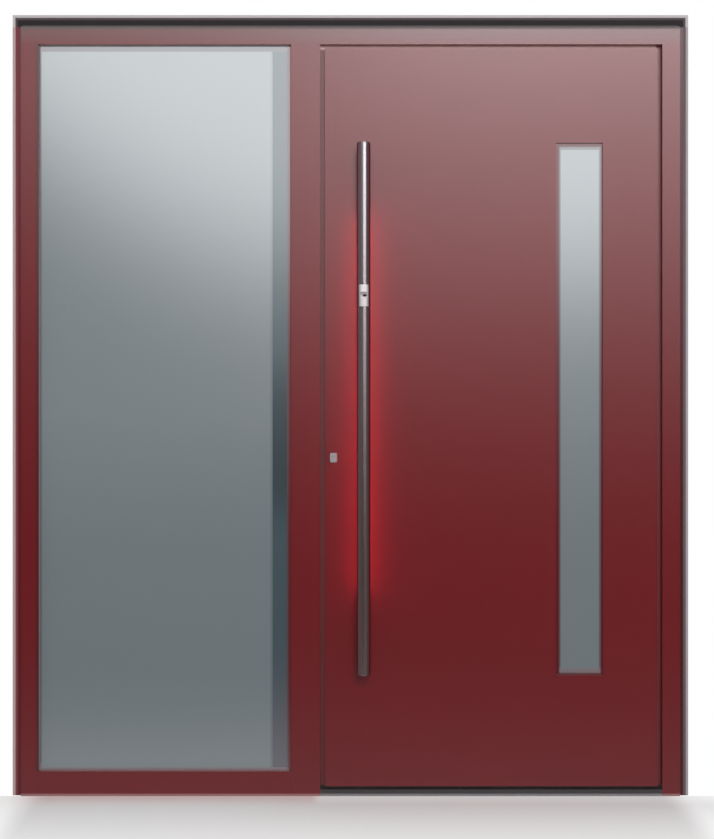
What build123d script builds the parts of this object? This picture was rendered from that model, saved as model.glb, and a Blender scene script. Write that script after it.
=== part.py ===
from build123d import *
import os

# An aluminium front door with a fixed glazed side light, to stand in a wall opening.
# Seen from outside the side light is on the left and the leaf on the right, hung on its right side,
# and it opens inwards. The outside face looks towards -Y, +X is to the right and +Z is up.
# The origin is on the floor line, at the middle of the overall width and of the frame's depth.
# In the helpers v is the depth behind the outside face, so y = v - DEPTH / 2. Millimetres throughout.

# Overall size
WIDTH = 2000.0
HEIGHT = 2310.0
DEPTH = 85.0

# Dark joint trims between the red frame and the wall
TRIM_SIDE = 26.0
TRIM_HEAD = 36.0
TRIM_SETBACK = 10.0
TRIM_DEPTH = 65.0
TRIM_GROOVE_V = 28.0
TRIM_GROOVE_WIDTH = 24.0
TRIM_GROOVE_DEPTH = 6.0

# Frame members: a cover with an outer lip, and a deeper core behind it
FRAME_FACE = 52.0
LIP_REACH = 20.0
LIP_THICKNESS = 14.0
MULLION_CENTRE_X = -132.5
MULLION_FACE = 87.0
RAIL_FACE = 73.0
HARDWARE_GROOVE_WIDTH = 16.0
HARDWARE_GROOVE_DEPTH = 3.0
HARDWARE_GROOVE_V = 72.0

# Holes for the anchors that fix the jambs to the wall
FIXING_DIAMETER = 8.0
FIXING_V = 57.0
FIXING_END_INSET = 200.0
FIXINGS_PER_SIDE = 4

# Threshold
SILL_THICKNESS = 7.0
THRESHOLD_TOP = 21.0
THRESHOLD_RIBS = 6
THRESHOLD_RIB_PITCH = 11.0
THRESHOLD_RIB_WIDTH = 4.0
THRESHOLD_RIB_DEPTH = 1.2
THRESHOLD_NOSE = 4.0

# Side light glazing
PANE = 4.0
CAVITY = 16.0
GLAZING_BITE = 15.0
GASKET = 4.0
GASKET_SHOWS = 2.0
SPACER_SHOWS = 11.0
BEAD_WIDTH = 20.0
BEAD_END_GAP = 0.4
SETTING_BLOCK_LENGTH = 100.0
SETTING_BLOCK_INSET = 150.0

# Leaf and the clearances round it
LEAF_GAP_SIDE = 14.0
LEAF_GAP_TOP = 12.0
LEAF_GAP_BOTTOM = 8.0
FLANGE = 25.0
REBATE_SEAL = 3.0
REBATE_SEAL_WIDTH = 8.0
REBATE_SEAL_BASE = 1.4
REBATE_SEAL_BULB_WIDTH = 5.0
MOVING_CLEARANCE = 5.0
SKIN = 3.0
STILE = 75.0
TOP_RAIL_HEIGHT = 75.0
BOTTOM_RAIL_HEIGHT = 90.0

# Slim window in the leaf
WINDOW_WIDTH = 138.0
WINDOW_FROM_HINGE_EDGE = 162.0
WINDOW_FROM_BOTTOM = 328.0
WINDOW_FROM_TOP = 280.0
WINDOW_BITE = 14.0
WINDOW_PANE = 6.0
WINDOW_CAVITY = 24.0
WINDOW_SPACER_SHOWS = 14.0
WINDOW_EDGE_CLEARANCE = 5.0

# Round pull bar
BAR_FROM_LOCK_EDGE = 114.0
BAR_FROM_BOTTOM = 339.0
BAR_FROM_TOP = 290.0
BAR_DIAMETER = 40.0
BAR_WALL = 2.0
BAR_STANDOFF = 70.0
BAR_CAP_HEIGHT = 20.0
BAR_CAP_SPIGOT = 25.0
BAR_CAP_CHAMFER = 2.0
BAR_CAP_GROOVE_WIDTH = 1.2
BAR_CAP_GROOVE_DEPTH = 1.0
POST_DIAMETER = 20.0
POST_FROM_BAR_END = 90.0
POST_FOOT_DIAMETER = 30.0
POST_FOOT_THICKNESS = 4.0
LIGHT_WIDTH = 12.0
LIGHT_THICKNESS = 5.0
LIGHT_FROM_BAR_BOTTOM = 232.0
LIGHT_FROM_BAR_TOP = 195.0

# Fingerprint reader let into the front of the bar
READER_WIDTH = 28.0
READER_HEIGHT = 63.0
READER_BELOW_BAR_TOP = 447.0
READER_PROUD = 0.6
READER_DEPTH = 12.0
READER_SCOOP_RADIUS = 16.0
READER_SCOOP_DEPTH = 3.0
SENSOR_WIDTH = 8.0
SENSOR_HEIGHT = 5.0
SENSOR_OFFSET = 3.0
SENSOR_THICKNESS = 3.0
SENSOR_PROUD = 0.4

# Lock, its outside rosette and its cylinder
LOCK_BACKSET = 50.0
LOCK_Z = 1000.0
ROSETTE_WIDTH = 22.0
ROSETTE_HEIGHT = 28.0
ROSETTE_THICKNESS = 9.0
ROSETTE_CORNER = 4.0
ROSETTE_EDGE = 1.0
CYLINDER_DIAMETER = 17.0
CYLINDER_PROUD = 0.8
CYLINDER_INSIDE_PROUD = 2.0
KEYWAY_WIDTH = 2.2
KEYWAY_HEIGHT = 8.5
KEYWAY_DEPTH = 6.0
LOCK_CASE_DEPTH = 75.0
LOCK_CASE_HEIGHT = 190.0
LOCK_CASE_THICKNESS = 15.0
FACEPLATE_WIDTH = 24.0
FACEPLATE_HEIGHT = 260.0
FACEPLATE_THICKNESS = 3.0
LOCK_CENTRE_V = 53.0
BOLT_HEIGHT = 30.0
BOLT_THICKNESS = 11.0
BOLT_BELOW = 10.0
LATCH_HEIGHT = 34.0
LATCH_ABOVE = 75.0
BOLT_OUTLINE_WIDTH = 0.8
BOLT_OUTLINE_DEPTH = 1.0
STRIKE_POCKET_DEPTH = 14.0
STRIKE_POCKET_CLEARANCE_V = 1.0
STRIKE_POCKET_CLEARANCE_Z = 2.0

# Lever handle and its plate on the inside
LEVER_ABOVE_CYLINDER = 92.0
PLATE_WIDTH = 32.0
PLATE_HEIGHT = 240.0
PLATE_THICKNESS = 8.0
PLATE_EDGE = 2.0
LEVER_DIAMETER = 20.0
LEVER_NECK = 38.0
LEVER_LENGTH = 125.0
LEVER_END_CHAMFER = 1.0
SPINDLE = 8.0

# Barrel hinges on the inside
HINGE_FROM_BOTTOM = 231.0
HINGE_FROM_TOP = 220.0
HINGE_HEIGHT = 120.0
HINGE_BARREL = 22.0
HINGE_PIN = 12.0
HINGE_PIN_CLEARANCE = 0.05
HINGE_AXIS_OUT = 13.0
HINGE_AXIS_BESIDE = 13.0
HINGE_PLATE = 5.0
HINGE_PLATE_REACH = 46.0
HINGE_FRAME_PLATE_REACH = 27.0
HINGE_WEB_LIFT = 3.0
HINGE_WEB = 6.0
HINGE_END_GAP = 0.5
HINGE_PIN_HEAD = 3.0

# Lines worked out from the sizes above
FRAME_X = WIDTH / 2 - TRIM_SIDE
FRAME_TOP = HEIGHT - TRIM_HEAD
CORE_FACE = FRAME_FACE - LIP_REACH
OPENING_LEFT = MULLION_CENTRE_X + MULLION_FACE / 2
OPENING_RIGHT = FRAME_X - FRAME_FACE
LIGHT_LEFT = -FRAME_X + FRAME_FACE
LIGHT_RIGHT = MULLION_CENTRE_X - MULLION_FACE / 2
HEAD_LIP_Z = FRAME_TOP - FRAME_FACE
HEAD_CORE_Z = FRAME_TOP - CORE_FACE
RAIL_CORE_Z = RAIL_FACE - LIP_REACH

LEAF_LEFT = OPENING_LEFT + LEAF_GAP_SIDE
LEAF_RIGHT = OPENING_RIGHT - LEAF_GAP_SIDE
LEAF_BOTTOM = THRESHOLD_TOP + LEAF_GAP_BOTTOM
LEAF_TOP = HEAD_LIP_Z - LEAF_GAP_TOP
FLANGE_V = LIP_THICKNESS + REBATE_SEAL + MOVING_CLEARANCE
LOCK_X = LEAF_LEFT - FLANGE + LOCK_BACKSET
LEVER_Z = LOCK_Z + LEVER_ABOVE_CYLINDER
LOCK_CASE_Z = (LOCK_Z + LEVER_Z) / 2

WINDOW_RIGHT = LEAF_RIGHT - WINDOW_FROM_HINGE_EDGE
WINDOW_LEFT = WINDOW_RIGHT - WINDOW_WIDTH
WINDOW_BOTTOM = LEAF_BOTTOM + WINDOW_FROM_BOTTOM
WINDOW_TOP = LEAF_TOP - WINDOW_FROM_TOP
WINDOW_PANE_V = SKIN + GASKET
WINDOW_BACK_V = WINDOW_PANE_V + 2 * WINDOW_PANE + WINDOW_CAVITY
WINDOW_LINING_V = WINDOW_BACK_V + GASKET

SIDELIGHT_PANE_V = LIP_THICKNESS + GASKET
SIDELIGHT_BACK_V = SIDELIGHT_PANE_V + 3 * PANE + 2 * CAVITY
SIDELIGHT_BEAD_V = SIDELIGHT_BACK_V + GASKET

BAR_X = LEAF_LEFT + BAR_FROM_LOCK_EDGE
BAR_V = -BAR_STANDOFF
BAR_RADIUS = BAR_DIAMETER / 2
BAR_BORE = BAR_DIAMETER - 2 * BAR_WALL
BAR_BOTTOM = LEAF_BOTTOM + BAR_FROM_BOTTOM
BAR_TOP = LEAF_TOP - BAR_FROM_TOP
LIGHT_BOTTOM = BAR_BOTTOM + LIGHT_FROM_BAR_BOTTOM
LIGHT_TOP = BAR_TOP - LIGHT_FROM_BAR_TOP
READER_CENTRE_Z = BAR_TOP - READER_BELOW_BAR_TOP

HINGE_X = LEAF_RIGHT + FLANGE + HINGE_AXIS_BESIDE
HINGE_V = DEPTH + HINGE_AXIS_OUT
HINGE_LOW = LEAF_BOTTOM + HINGE_FROM_BOTTOM
HINGE_HIGH = LEAF_TOP - HINGE_FROM_TOP
HINGE_HEIGHTS = (HINGE_LOW, (HINGE_LOW + HINGE_HIGH) / 2, HINGE_HIGH)


def block(x0, x1, v0, v1, z0, z1):
    """A rectangular solid between two corners."""
    solid = Box(x1 - x0, v1 - v0, z1 - z0, align=(Align.MIN, Align.MIN, Align.MIN))
    return Pos(x0, v0 - DEPTH / 2, z0) * solid


def upright(outline, z0, z1):
    """A profile drawn as (x, v) points and extruded upwards from z0 to z1."""
    points = [(x, v - DEPTH / 2, z0) for x, v in outline]
    return extrude(make_face(Polyline(*points, close=True)), amount=z1 - z0, dir=(0, 0, 1))


def level(outline, x0, x1):
    """A profile drawn as (v, z) points and extruded to the right from x0 to x1."""
    points = [(x0, v - DEPTH / 2, z) for v, z in outline]
    return extrude(make_face(Polyline(*points, close=True)), amount=x1 - x0, dir=(1, 0, 0))


def face_cut(outline):
    """A prism through the whole depth over an (x, z) outline, used to mitre a member."""
    points = [(x, -DEPTH / 2, z) for x, z in outline]
    return extrude(make_face(Polyline(*points, close=True)), amount=DEPTH, dir=(0, 1, 0))


def frame_ring(x0, x1, z0, z1, border, v0, v1):
    """A flat rectangular ring whose outer edge is x0..x1 by z0..z1."""
    outer = block(x0, x1, v0, v1, z0, z1)
    return outer - block(x0 + border, x1 - border, v0, v1, z0 + border, z1 - border)


def rod_y(diameter, x, v0, v1, z):
    """A round rod along the depth, from v0 to v1."""
    rod = Cylinder(diameter / 2, v1 - v0, align=(Align.CENTER, Align.CENTER, Align.MIN))
    return Pos(x, v0 - DEPTH / 2, z) * Rot(-90, 0, 0) * rod


def rod_x(diameter, x0, x1, v, z):
    """A round rod along the width, from x0 to x1."""
    rod = Cylinder(diameter / 2, x1 - x0, align=(Align.CENTER, Align.CENTER, Align.MIN))
    return Pos(x0, v - DEPTH / 2, z) * Rot(0, 90, 0) * rod


def rod_z(diameter, x, v, z0, z1):
    """A round upright rod from z0 to z1."""
    rod = Cylinder(diameter / 2, z1 - z0, align=(Align.CENTER, Align.CENTER, Align.MIN))
    return Pos(x, v - DEPTH / 2, z0) * rod


def fixing_holes(x0, x1):
    """The row of anchor holes through whatever lies between x0 and x1."""
    pitch = (FRAME_TOP - 2 * FIXING_END_INSET) / (FIXINGS_PER_SIDE - 1)
    holes = []
    for number in range(FIXINGS_PER_SIDE):
        z = FIXING_END_INSET + number * pitch
        holes.append(rod_x(FIXING_DIAMETER, x0, x1, FIXING_V, z))
    return holes


def jamb_core_outline(with_groove):
    """A jamb's core as (u, v) points, u being the distance in from the jamb's wall side."""
    outline = [(0, LIP_THICKNESS), (CORE_FACE, LIP_THICKNESS)]
    if with_groove:
        groove_front = HARDWARE_GROOVE_V - HARDWARE_GROOVE_WIDTH / 2
        groove_back = HARDWARE_GROOVE_V + HARDWARE_GROOVE_WIDTH / 2
        groove_floor = CORE_FACE - HARDWARE_GROOVE_DEPTH
        outline += [(CORE_FACE, groove_front), (groove_floor, groove_front)]
        outline += [(groove_floor, groove_back), (CORE_FACE, groove_back)]
    return outline + [(CORE_FACE, DEPTH), (0, DEPTH)]


def frame_jamb(side, with_groove):
    """A jamb as its cover and its core, mitred at the top; side is -1 on the left and 1 on the right."""
    cover_outline = [(0, 0), (FRAME_FACE, 0), (FRAME_FACE, LIP_THICKNESS), (0, LIP_THICKNESS)]
    inner_x = FRAME_X - FRAME_FACE
    mitre = [(FRAME_X, 0), (inner_x, 0), (inner_x, HEAD_LIP_Z), (FRAME_X, FRAME_TOP)]
    mitre_cut = face_cut([(side * x, z) for x, z in mitre])
    profiles = []
    for outline in (cover_outline, jamb_core_outline(with_groove)):
        points = [(side * (FRAME_X - u), v) for u, v in outline]
        profiles.append(upright(points, 0, FRAME_TOP) & mitre_cut)
    cover, core = profiles
    core_x = side * (FRAME_X - CORE_FACE)
    for hole in fixing_holes(min(side * FRAME_X, core_x), max(side * FRAME_X, core_x)):
        core = core - hole
    return Compound(children=[cover, core])


def frame_head():
    """The head as its cover and its core, mitred at both ends."""
    cover = level([(0, FRAME_TOP), (0, HEAD_LIP_Z), (LIP_THICKNESS, HEAD_LIP_Z), (LIP_THICKNESS, FRAME_TOP)],
                  -FRAME_X, FRAME_X)
    core = block(-FRAME_X, FRAME_X, LIP_THICKNESS, DEPTH, HEAD_CORE_Z, FRAME_TOP)
    inner_x = FRAME_X - FRAME_FACE
    mitre = [(-FRAME_X, FRAME_TOP), (FRAME_X, FRAME_TOP), (inner_x, HEAD_LIP_Z), (-inner_x, HEAD_LIP_Z)]
    return Compound(children=[cover & face_cut(mitre), core & face_cut(mitre)])


def strike_pockets(depth):
    """The bolt and latch holes in the strike, cut to a depth into the mullion."""
    face_x = OPENING_LEFT - LIP_REACH
    bolt_z = LOCK_Z - BOLT_BELOW
    latch_z = LOCK_Z + LATCH_ABOVE
    half_v = BOLT_THICKNESS / 2 + STRIKE_POCKET_CLEARANCE_V
    v0, v1 = LOCK_CENTRE_V - half_v, LOCK_CENTRE_V + half_v
    cuts = []
    for centre_z, height in ((bolt_z, BOLT_HEIGHT), (latch_z, LATCH_HEIGHT)):
        half_z = height / 2 + STRIKE_POCKET_CLEARANCE_Z
        cuts.append(block(face_x - depth, face_x, v0, v1, centre_z - half_z, centre_z + half_z))
    return cuts


def faceplate_block(x0):
    """The long thin plate that starts at x0: the lock's faceplate, or the recess of its strike."""
    v0, v1 = LOCK_CENTRE_V - FACEPLATE_WIDTH / 2, LOCK_CENTRE_V + FACEPLATE_WIDTH / 2
    z0, z1 = LOCK_CASE_Z - FACEPLATE_HEIGHT / 2, LOCK_CASE_Z + FACEPLATE_HEIGHT / 2
    return block(x0, x0 + FACEPLATE_THICKNESS, v0, v1, z0, z1)


def strike_recess():
    """The shallow recess that the strike plate fills, flush with the mullion's face."""
    return faceplate_block(OPENING_LEFT - LIP_REACH - FACEPLATE_THICKNESS)


def frame_mullion():
    """The post between the side light and the leaf, as a cover and a core butted under the head."""
    cover = block(LIGHT_RIGHT, OPENING_LEFT, 0, LIP_THICKNESS, 0, HEAD_LIP_Z)
    core_left, core_right = LIGHT_RIGHT + LIP_REACH, OPENING_LEFT - LIP_REACH
    core = block(core_left, core_right, LIP_THICKNESS, DEPTH, 0, HEAD_CORE_Z) - strike_recess()
    for pocket in strike_pockets(STRIKE_POCKET_DEPTH):
        core = core - pocket
    return Compound(children=[cover, core])


def strike_plate():
    """The steel strike let into the mullion, with the bolt and latch openings."""
    plate = strike_recess()
    for pocket in strike_pockets(FACEPLATE_THICKNESS):
        plate = plate - pocket
    return plate


def frame_bottom_rail():
    """The rail under the side light, as a cover and a core between the left jamb and the mullion."""
    cover = block(LIGHT_LEFT, LIGHT_RIGHT, 0, LIP_THICKNESS, 0, RAIL_FACE)
    core_left, core_right = LIGHT_LEFT - LIP_REACH, LIGHT_RIGHT + LIP_REACH
    core = block(core_left, core_right, LIP_THICKNESS, DEPTH, 0, RAIL_CORE_Z)
    return Compound(children=[cover, core])


def trim_outline(thickness):
    """The section of a joint trim, with a sealing groove along its wall side, as (u, v) points."""
    front, back = TRIM_GROOVE_V - TRIM_GROOVE_WIDTH / 2, TRIM_GROOVE_V + TRIM_GROOVE_WIDTH / 2
    end = TRIM_SETBACK + TRIM_DEPTH
    outline = [(0, TRIM_SETBACK), (thickness, TRIM_SETBACK), (thickness, end), (0, end)]
    return outline + [(0, back), (TRIM_GROOVE_DEPTH, back), (TRIM_GROOVE_DEPTH, front), (0, front)]


def joint_trim_side(side):
    """An upright joint trim beside a jamb, under the head trim, drilled for the frame's anchors."""
    outline = [(side * (WIDTH / 2 - u), v) for u, v in trim_outline(TRIM_SIDE)]
    trim = upright(outline, 0, FRAME_TOP)
    wall_x, jamb_x = side * WIDTH / 2, side * FRAME_X
    for hole in fixing_holes(min(wall_x, jamb_x), max(wall_x, jamb_x)):
        trim = trim - hole
    return trim


def joint_trim_head():
    """The joint trim over the head, across the whole width."""
    outline = [(v, HEIGHT - u) for u, v in trim_outline(TRIM_HEAD)]
    return level(outline, -WIDTH / 2, WIDTH / 2)


def between_door_cores(v0, v1, z0, z1):
    """A bar that fills the door opening between the lips and, behind them, between the cores."""
    bar = block(OPENING_LEFT, OPENING_RIGHT, v0, v1, z0, z1)
    if v1 > LIP_THICKNESS:
        left, right = OPENING_LEFT - LIP_REACH, OPENING_RIGHT + LIP_REACH
        bar = bar + block(left, right, max(v0, LIP_THICKNESS), v1, z0, z1)
    return bar


def threshold_sill():
    """The thin sill plate under the threshold."""
    return between_door_cores(0, DEPTH, 0, SILL_THICKNESS)


def threshold_profile():
    """The ribbed threshold on the sill, with a sloping nose to the outside."""
    bar = between_door_cores(0, DEPTH, SILL_THICKNESS, THRESHOLD_TOP)
    left, right = OPENING_LEFT - LIP_REACH, OPENING_RIGHT + LIP_REACH
    nose = [(0, THRESHOLD_TOP), (0, THRESHOLD_TOP - THRESHOLD_NOSE), (THRESHOLD_NOSE, THRESHOLD_TOP)]
    bar = bar - level(nose, left, right)
    first = (DEPTH - (THRESHOLD_RIBS - 1) * THRESHOLD_RIB_PITCH) / 2
    for number in range(THRESHOLD_RIBS):
        front = first + number * THRESHOLD_RIB_PITCH - THRESHOLD_RIB_WIDTH / 2
        back = front + THRESHOLD_RIB_WIDTH
        bar = bar - block(left, right, front, back, THRESHOLD_TOP - THRESHOLD_RIB_DEPTH, THRESHOLD_TOP)
    return bar


def sidelight_edges(inset):
    """The x and z limits of a rectangle that lies inset inwards from the glass unit's edge."""
    x0 = LIGHT_LEFT - GLAZING_BITE + inset
    x1 = LIGHT_RIGHT + GLAZING_BITE - inset
    z0 = RAIL_FACE - GLAZING_BITE + inset
    z1 = HEAD_LIP_Z + GLAZING_BITE - inset
    return x0, x1, z0, z1


def sidelight_pane(number):
    """One sheet of the side light's triple unit, counted from the outside."""
    front = SIDELIGHT_PANE_V + number * (PANE + CAVITY)
    x0, x1, z0, z1 = sidelight_edges(0)
    return block(x0, x1, front, front + PANE, z0, z1)


def sidelight_spacers():
    """The two spacer frames between the three sheets."""
    x0, x1, z0, z1 = sidelight_edges(0)
    rings = []
    for number in range(2):
        front = SIDELIGHT_PANE_V + PANE + number * (PANE + CAVITY)
        rings.append(frame_ring(x0, x1, z0, z1, GLAZING_BITE + SPACER_SHOWS, front, front + CAVITY))
    return Compound(children=rings)


def sidelight_gaskets():
    """The rubber gaskets in front of the unit and behind it."""
    x0, x1, z0, z1 = sidelight_edges(0)
    border = GLAZING_BITE + GASKET_SHOWS
    outer = frame_ring(x0, x1, z0, z1, border, LIP_THICKNESS, SIDELIGHT_PANE_V)
    inner = frame_ring(x0, x1, z0, z1, border, SIDELIGHT_BACK_V, SIDELIGHT_BEAD_V)
    return Compound(children=[outer, inner])


def sidelight_beads():
    """The four glazing beads that clip into the frame on the inside."""
    x0, x1 = LIGHT_LEFT - LIP_REACH, LIGHT_RIGHT + LIP_REACH
    z0, z1 = RAIL_CORE_Z, HEAD_CORE_Z
    left = block(x0, x0 + BEAD_WIDTH, SIDELIGHT_BEAD_V, DEPTH, z0, z1)
    right = block(x1 - BEAD_WIDTH, x1, SIDELIGHT_BEAD_V, DEPTH, z0, z1)
    inner_x0, inner_x1 = x0 + BEAD_WIDTH + BEAD_END_GAP, x1 - BEAD_WIDTH - BEAD_END_GAP
    low = block(inner_x0, inner_x1, SIDELIGHT_BEAD_V, DEPTH, z0, z0 + BEAD_WIDTH)
    high = block(inner_x0, inner_x1, SIDELIGHT_BEAD_V, DEPTH, z1 - BEAD_WIDTH, z1)
    return Compound(children=[left, right, low, high])


def sidelight_setting_blocks():
    """The two blocks in the bottom rail that carry the weight of the glass."""
    x0, x1, z0, _ = sidelight_edges(0)
    blocks = []
    for start in (x0 + SETTING_BLOCK_INSET, x1 - SETTING_BLOCK_INSET - SETTING_BLOCK_LENGTH):
        end = start + SETTING_BLOCK_LENGTH
        blocks.append(block(start, end, SIDELIGHT_PANE_V, SIDELIGHT_BACK_V, RAIL_CORE_Z, z0))
    return Compound(children=blocks)


def seal_arch(width, v0, v1):
    """A strip centred on the lips' free reach, up both sides of the leaf and across its top."""
    inset = (LIP_REACH - width) / 2
    left, right, top = OPENING_LEFT - inset, OPENING_RIGHT + inset, HEAD_LIP_Z + inset
    outer = block(left - width, right + width, v0, v1, THRESHOLD_TOP, top + width)
    return outer - block(left, right, v0, v1, THRESHOLD_TOP, top)


def door_rebate_seal():
    """The rebate seal on the back of the lips: a flat foot with a narrower bulb on it."""
    foot_end = LIP_THICKNESS + REBATE_SEAL_BASE
    foot = seal_arch(REBATE_SEAL_WIDTH, LIP_THICKNESS, foot_end)
    return foot + seal_arch(REBATE_SEAL_BULB_WIDTH, foot_end, LIP_THICKNESS + REBATE_SEAL)


def lock_case():
    """The mortise lock: its case, and the faceplate flush with the edge of the leaf."""
    edge_x = LEAF_LEFT - FLANGE
    x0 = edge_x + FACEPLATE_THICKNESS
    v0, v1 = LOCK_CENTRE_V - LOCK_CASE_THICKNESS / 2, LOCK_CENTRE_V + LOCK_CASE_THICKNESS / 2
    z0, z1 = LOCK_CASE_Z - LOCK_CASE_HEIGHT / 2, LOCK_CASE_Z + LOCK_CASE_HEIGHT / 2
    return faceplate_block(edge_x) + block(x0, x0 + LOCK_CASE_DEPTH, v0, v1, z0, z1)


def bolt_outline(centre_z, height):
    """The thin groove round a retracted bolt or latch in the faceplate."""
    x0 = LEAF_LEFT - FLANGE
    x1 = x0 + BOLT_OUTLINE_DEPTH
    v0, v1 = LOCK_CENTRE_V - BOLT_THICKNESS / 2, LOCK_CENTRE_V + BOLT_THICKNESS / 2
    z0, z1 = centre_z - height / 2, centre_z + height / 2
    w = BOLT_OUTLINE_WIDTH
    return block(x0, x1, v0 - w, v1 + w, z0 - w, z1 + w) - block(x0, x1, v0, v1, z0, z1)


def mortise_lock():
    """The lock with its cylinder and spindle holes, and the retracted bolt and latch outlined."""
    lock = lock_case() - rod_y(CYLINDER_DIAMETER, LOCK_X, 0, DEPTH, LOCK_Z)
    half = SPINDLE / 2
    lock = lock - block(LOCK_X - half, LOCK_X + half, 0, DEPTH, LEVER_Z - half, LEVER_Z + half)
    lock = lock - bolt_outline(LOCK_Z - BOLT_BELOW, BOLT_HEIGHT)
    return lock - bolt_outline(LOCK_Z + LATCH_ABOVE, LATCH_HEIGHT)


def leaf_stile(side):
    """A stepped stile of the leaf: side is -1 at the lock and 1 at the hinges."""
    if side < 0:
        edge, inner = LEAF_LEFT, LEAF_LEFT + STILE
    else:
        edge, inner = LEAF_RIGHT, LEAF_RIGHT - STILE
    flange = edge + side * FLANGE
    outline = [(inner, SKIN), (edge, SKIN), (edge, FLANGE_V), (flange, FLANGE_V)]
    outline += [(flange, DEPTH - SKIN), (inner, DEPTH - SKIN)]
    stile = upright(outline, LEAF_BOTTOM, LEAF_TOP + FLANGE)
    return stile - block(min(flange, inner), max(flange, inner), SKIN, FLANGE_V, LEAF_TOP, LEAF_TOP + FLANGE)


def leaf_stile_lock():
    """The lock stile, morticed for the lock, its cylinder and the handle's spindle."""
    stile = leaf_stile(-1) - lock_case()
    stile = stile - rod_y(CYLINDER_DIAMETER, LOCK_X, 0, DEPTH, LOCK_Z)
    half = SPINDLE / 2
    return stile - block(LOCK_X - half, LOCK_X + half, LOCK_CENTRE_V, DEPTH, LEVER_Z - half, LEVER_Z + half)


def leaf_rail_top():
    """The stepped top rail between the stiles."""
    x0, x1 = LEAF_LEFT + STILE, LEAF_RIGHT - STILE
    low = LEAF_TOP - TOP_RAIL_HEIGHT
    outline = [(SKIN, low), (DEPTH - SKIN, low), (DEPTH - SKIN, LEAF_TOP + FLANGE)]
    outline += [(FLANGE_V, LEAF_TOP + FLANGE), (FLANGE_V, LEAF_TOP), (SKIN, LEAF_TOP)]
    return level(outline, x0, x1)


def leaf_rail_bottom():
    """The bottom rail between the stiles."""
    x0, x1 = LEAF_LEFT + STILE, LEAF_RIGHT - STILE
    return block(x0, x1, SKIN, DEPTH - SKIN, LEAF_BOTTOM, LEAF_BOTTOM + BOTTOM_RAIL_HEIGHT)


def window_block(margin, v0, v1):
    """A block over the window opening, grown by a margin on every edge."""
    x0, x1 = WINDOW_LEFT - margin, WINDOW_RIGHT + margin
    return block(x0, x1, v0, v1, WINDOW_BOTTOM - margin, WINDOW_TOP + margin)


def leaf_core():
    """The insulating core between stiles and rails, with a pocket for the window."""
    x0, x1 = LEAF_LEFT + STILE, LEAF_RIGHT - STILE
    z0, z1 = LEAF_BOTTOM + BOTTOM_RAIL_HEIGHT, LEAF_TOP - TOP_RAIL_HEIGHT
    core = block(x0, x1, SKIN, DEPTH - SKIN, z0, z1)
    return core - window_block(WINDOW_BITE + WINDOW_EDGE_CLEARANCE, SKIN, DEPTH - SKIN)


def leaf_outer_skin():
    """The flush outer sheet, cut for the window and the lock cylinder."""
    sheet = block(LEAF_LEFT, LEAF_RIGHT, 0, SKIN, LEAF_BOTTOM, LEAF_TOP)
    sheet = sheet - window_block(0, 0, SKIN)
    return sheet - rod_y(CYLINDER_DIAMETER, LOCK_X, 0, SKIN, LOCK_Z)


def leaf_inner_skin():
    """The inner sheet, which also covers the flange, cut for the window, cylinder and spindle."""
    v0 = DEPTH - SKIN
    sheet = block(LEAF_LEFT - FLANGE, LEAF_RIGHT + FLANGE, v0, DEPTH, LEAF_BOTTOM, LEAF_TOP + FLANGE)
    sheet = sheet - window_block(0, v0, DEPTH) - rod_y(CYLINDER_DIAMETER, LOCK_X, v0, DEPTH, LOCK_Z)
    half = SPINDLE / 2
    return sheet - block(LOCK_X - half, LOCK_X + half, v0, DEPTH, LEVER_Z - half, LEVER_Z + half)


def window_pane(number):
    """One sheet of the window's double unit, counted from the outside."""
    front = WINDOW_PANE_V + number * (WINDOW_PANE + WINDOW_CAVITY)
    return window_block(WINDOW_BITE, front, front + WINDOW_PANE)


def window_spacer():
    """The spacer frame between the two sheets, which shows as a grey strip along the edges."""
    front = WINDOW_PANE_V + WINDOW_PANE
    back = front + WINDOW_CAVITY
    return window_block(WINDOW_BITE, front, back) - window_block(-WINDOW_SPACER_SHOWS, front, back)


def window_gaskets():
    """The sealing strips in front of the unit and behind it."""
    front = window_block(WINDOW_BITE, SKIN, WINDOW_PANE_V) - window_block(0, SKIN, WINDOW_PANE_V)
    back = window_block(WINDOW_BITE, WINDOW_BACK_V, WINDOW_LINING_V)
    back = back - window_block(0, WINDOW_BACK_V, WINDOW_LINING_V)
    return Compound(children=[front, back])


def window_lining():
    """The lining that backs the unit and holds it in the core."""
    pocket = WINDOW_BITE + WINDOW_EDGE_CLEARANCE
    v1 = DEPTH - SKIN
    return window_block(pocket, WINDOW_LINING_V, v1) - window_block(0, WINDOW_LINING_V, v1)


def reader_block():
    """The upright block that the fingerprint reader occupies in the front of the bar."""
    half_x, half_z = READER_WIDTH / 2, READER_HEIGHT / 2
    front = BAR_V - BAR_RADIUS - READER_PROUD
    z0, z1 = READER_CENTRE_Z - half_z, READER_CENTRE_Z + half_z
    return block(BAR_X - half_x, BAR_X + half_x, front, front + READER_DEPTH, z0, z1)


def pull_bar():
    """The round tube, cut for the reader at its front and for the light at its back."""
    z0, z1 = BAR_BOTTOM + BAR_CAP_HEIGHT, BAR_TOP - BAR_CAP_HEIGHT
    tube = rod_z(BAR_DIAMETER, BAR_X, BAR_V, z0, z1) - rod_z(BAR_BORE, BAR_X, BAR_V, z0, z1)
    tube = tube - reader_block()
    half = LIGHT_WIDTH / 2
    return tube - block(BAR_X - half, BAR_X + half, BAR_V, BAR_V + BAR_RADIUS, LIGHT_BOTTOM, LIGHT_TOP)


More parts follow.
